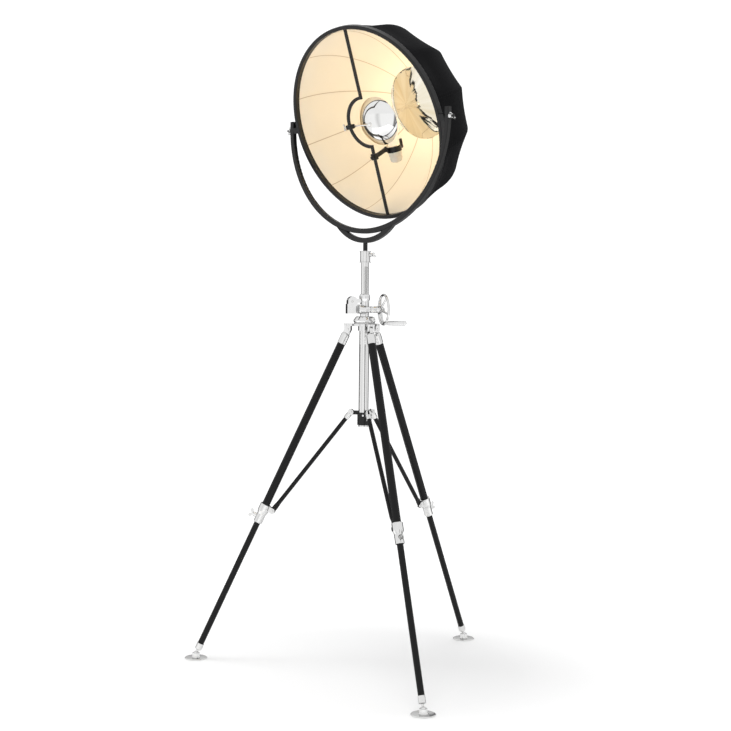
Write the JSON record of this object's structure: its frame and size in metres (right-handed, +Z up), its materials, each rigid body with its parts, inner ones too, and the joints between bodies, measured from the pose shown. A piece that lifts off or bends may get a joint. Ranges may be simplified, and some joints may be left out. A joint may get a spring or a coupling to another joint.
{
  "type": "tripod floor lamp",
  "caption": "Tripod floor lamp with a geared crank column, folding strutted legs, a half-round yoke and a large tilting umbrella shade with a small counter reflector.",
  "frame": {"origin": "on the floor, on the axis of the column, midway between the three feet", "axes": "+Z up along the column; the shade faces -Y and the tilt axis is parallel to X"},
  "size_m": [1.0075, 0.9091, 2.0158],
  "materials": {
    "cast_bright": "polished cast metal",
    "tube_bright": "polished tube",
    "fitting_bright": "bright nickel fittings",
    "black_coat": "satin black powder coat",
    "cover_cloth": "black matt cloth",
    "lining_cloth": "cream translucent cloth",
    "mirror_metal": "mirror-polished spun metal",
    "ceramic": "glazed cream ceramic",
    "bulb_glass": "frosted glass",
    "bulb_cap": "plated cap"
  },
  "bodies": {
    "tripod_head": {"crown": "cast_bright", "crown_fasteners": "fitting_bright", "outer_tube": "tube_bright", "gear_housing": "cast_bright"},
    "lock_knob": {"lock_knob": "fitting_bright"},
    "column": {"rack_column": "tube_bright", "top_collar": "fitting_bright"},
    "crank": {"pinion_shaft": "fitting_bright", "hand_wheel": "cast_bright"},
    "grip": {"crank_grip": "cast_bright"},
    "collar_screw": {"collar_screw": "fitting_bright"},
    "spreader": {"spreader_collar": "black_coat", "spreader_pins": "fitting_bright"},
    "yoke": {"yoke_bow": "black_coat", "yoke_bracket": "black_coat"},
    "head": {"pivot_blocks": "black_coat", "rim_ring": "black_coat", "rib_frame": "black_coat", "shade_cover": "cover_cloth", "shade_lining": "lining_cloth", "apex_reflector": "mirror_metal", "front_bar": "black_coat", "rod_clamp": "black_coat", "lamp_arm": "black_coat"},
    "wing_nut_left": {"wing_nut_left": "fitting_bright"},
    "wing_nut_right": {"wing_nut_right": "fitting_bright"},
    "bowl": {"bowl_reflector": "mirror_metal"},
    "rod_screw": {"rod_screw": "fitting_bright"},
    "lamp": {"arm_link": "black_coat", "lampholder": "ceramic", "bulb_cap": "bulb_cap", "bulb_glass": "bulb_glass"},
    "arm_knob": {"arm_knob": "black_coat"},
    "leg_a": {"leg_knuckle_a": "fitting_bright", "leg_tube_a": "black_coat", "leg_clamp_a": "fitting_bright"},
    "clamp_screw_a": {"clamp_screw_a": "fitting_bright"},
    "lower_leg_a": {"lower_leg_a": "black_coat", "foot_ferrule_a": "fitting_bright"},
    "foot_a": {"foot_disc_a": "fitting_bright"},
    "strut_a": {"strut_a": "black_coat", "strut_knuckle_a": "fitting_bright"},
    "leg_b": {"leg_knuckle_b": "fitting_bright", "leg_tube_b": "black_coat", "leg_clamp_b": "fitting_bright"},
    "clamp_screw_b": {"clamp_screw_b": "fitting_bright"},
    "lower_leg_b": {"lower_leg_b": "black_coat", "foot_ferrule_b": "fitting_bright"},
    "foot_b": {"foot_disc_b": "fitting_bright"},
    "strut_b": {"strut_b": "black_coat", "strut_knuckle_b": "fitting_bright"},
    "leg_c": {"leg_knuckle_c": "fitting_bright", "leg_tube_c": "black_coat", "leg_clamp_c": "fitting_bright"},
    "clamp_screw_c": {"clamp_screw_c": "fitting_bright"},
    "lower_leg_c": {"lower_leg_c": "black_coat", "foot_ferrule_c": "fitting_bright"},
    "foot_c": {"foot_disc_c": "fitting_bright"},
    "strut_c": {"strut_c": "black_coat", "strut_knuckle_c": "fitting_bright"}
  },
  "joints": [
    {"name": "lock_knob_turn", "type": "hinge", "parent": "tripod_head", "child": "lock_knob", "pos_m": [0.03791, -0.00265, 1.102], "axis": [0.9976, -0.0698, 0], "range_deg": [0, 360]},
    {"name": "column_lift", "type": "slide", "parent": "tripod_head", "child": "column", "axis": [0, 0, 1], "range_m": [-0.095, 0.19]},
    {"name": "crank_spin", "type": "hinge", "parent": "tripod_head", "child": "crank", "pos_m": [0.01519, -0.00764, 1.133], "axis": [0.4493, 0.8934, 0], "range_deg": [-908.2, 1815.4]},
    {"name": "grip_spin", "type": "hinge", "parent": "crank", "child": "grip", "pos_m": [0.07234, 0.06436, 1.09098], "axis": [0.4493, 0.8934, 0], "continuous": true},
    {"name": "collar_screw_turn", "type": "hinge", "parent": "column", "child": "collar_screw", "pos_m": [0.01749, 0.0097, 1.303], "axis": [0.8746, 0.4848, 0], "range_deg": [0, 360]},
    {"name": "spreader_slide", "type": "slide", "parent": "tripod_head", "child": "spreader", "axis": [0, 0, 1], "range_m": [-0.001, 0.0407]},
    {"name": "leg_fold_a", "type": "hinge", "parent": "tripod_head", "child": "leg_a", "pos_m": [-0.00299, 0.05191, 1.07], "axis": [-0.9983, -0.0576, 0], "range_deg": [0, 20]},
    {"name": "leg_fold_b", "type": "hinge", "parent": "tripod_head", "child": "leg_b", "pos_m": [-0.04346, -0.02855, 1.07], "axis": [0.549, -0.8358, 0], "range_deg": [0, 20]},
    {"name": "leg_fold_c", "type": "hinge", "parent": "tripod_head", "child": "leg_c", "pos_m": [0.04646, -0.02337, 1.07], "axis": [0.4493, 0.8934, 0], "range_deg": [0, 20]},
    {"name": "clamp_screw_turn_a", "type": "hinge", "parent": "leg_a", "child": "clamp_screw_a", "pos_m": [-0.02012, 0.34901, 0.47608], "axis": [-0.0522, 0.9056, 0.4209], "range_deg": [0, 360]},
    {"name": "leg_slide_a", "type": "slide", "parent": "leg_a", "child": "lower_leg_a", "axis": [-0.0242, 0.4202, -0.9071], "range_m": [-0.4, 0]},
    {"name": "foot_tilt_a", "type": "hinge", "parent": "lower_leg_a", "child": "foot_a", "pos_m": [-0.03114, 0.5401, 0.016], "axis": [-0.9983, -0.0576, 0], "range_deg": [-15, 15]},
    {"name": "strut_swing_a", "type": "hinge", "parent": "spreader", "child": "strut_a", "pos_m": [-0.0023, 0.03993, 0.811], "axis": [-0.9983, -0.0576, 0], "range_deg": [-0.5, 33.3]},
    {"name": "clamp_screw_turn_b", "type": "hinge", "parent": "leg_b", "child": "clamp_screw_b", "pos_m": [-0.29219, -0.19193, 0.47608], "axis": [-0.7582, -0.498, 0.4209], "range_deg": [0, 360]},
    {"name": "leg_slide_b", "type": "slide", "parent": "leg_b", "child": "lower_leg_b", "axis": [-0.3518, -0.2311, -0.9071], "range_m": [-0.4, 0]},
    {"name": "foot_tilt_b", "type": "hinge", "parent": "lower_leg_b", "child": "foot_b", "pos_m": [-0.45217, -0.29702, 0.016], "axis": [0.549, -0.8358, 0], "range_deg": [-15, 15]},
    {"name": "strut_swing_b", "type": "hinge", "parent": "spreader", "child": "strut_b", "pos_m": [-0.03343, -0.02196, 0.811], "axis": [0.549, -0.8358, 0], "range_deg": [-0.5, 33.3]},
    {"name": "clamp_screw_turn_c", "type": "hinge", "parent": "leg_c", "child": "clamp_screw_c", "pos_m": [0.31232, -0.15708, 0.47608], "axis": [0.8104, -0.4076, 0.4209], "range_deg": [0, 360]},
    {"name": "leg_slide_c", "type": "slide", "parent": "leg_c", "child": "lower_leg_c", "axis": [0.376, -0.1891, -0.9071], "range_m": [-0.4, 0]},
    {"name": "foot_tilt_c", "type": "hinge", "parent": "lower_leg_c", "child": "foot_c", "pos_m": [0.48331, -0.24308, 0.016], "axis": [0.4493, 0.8934, 0], "range_deg": [-15, 15]},
    {"name": "strut_swing_c", "type": "hinge", "parent": "spreader", "child": "strut_c", "pos_m": [0.03574, -0.01797, 0.811], "axis": [0.4493, 0.8934, 0], "range_deg": [-0.5, 33.3]},
    {"name": "yoke_pan", "type": "hinge", "parent": "column", "child": "yoke", "pos_m": [0, 0, 1.286], "axis": [0, 0, 1], "continuous": true},
    {"name": "head_tilt", "type": "hinge", "parent": "yoke", "child": "head", "pos_m": [0, 0, 1.709], "axis": [1, 0, 0], "range_deg": [-160, 160]},
    {"name": "wing_nut_left_turn", "type": "hinge", "parent": "head", "child": "wing_nut_left", "pos_m": [-0.345, 0, 1.709], "axis": [-1, 0, 0], "range_deg": [0, 360]},
    {"name": "wing_nut_right_turn", "type": "hinge", "parent": "head", "child": "wing_nut_right", "pos_m": [0.345, 0, 1.709], "axis": [1, 0, 0], "range_deg": [0, 360]},
    {"name": "bowl_tilt", "type": "hinge", "parent": "head", "child": "bowl", "pos_m": [0, 0.01051, 1.70644], "axis": [1, 0, 0], "range_deg": [-8, 8]},
    {"name": "rod_screw_turn", "type": "hinge", "parent": "head", "child": "rod_screw", "pos_m": [-0.09, 0.00205, 1.70336], "axis": [-1, 0, 0], "range_deg": [0, 360]},
    {"name": "lamp_swing", "type": "hinge", "parent": "head", "child": "lamp", "pos_m": [0, 0.08708, 1.63641], "axis": [0, -0.342, 0.9397], "range_deg": [-35, 35]},
    {"name": "arm_knob_turn", "type": "hinge", "parent": "lamp", "child": "arm_knob", "pos_m": [0, 0.15747, 1.66522], "axis": [0, -0.342, 0.9397], "range_deg": [0, 360]}
  ],
  "couplings": [
    {"joint": "crank_spin", "follows": "column_lift", "rad_per_m": 166.67},
    {"joint": "leg_fold_b", "follows": "leg_fold_a", "ratio": 1},
    {"joint": "leg_fold_c", "follows": "leg_fold_a", "ratio": 1},
    {"joint": "spreader_slide", "follows": "leg_fold_a", "m_per_rad": 0.11379},
    {"joint": "strut_swing_a", "follows": "leg_fold_a", "ratio": 1.64},
    {"joint": "strut_swing_b", "follows": "leg_fold_a", "ratio": 1.64},
    {"joint": "strut_swing_c", "follows": "leg_fold_a", "ratio": 1.64}
  ]
}
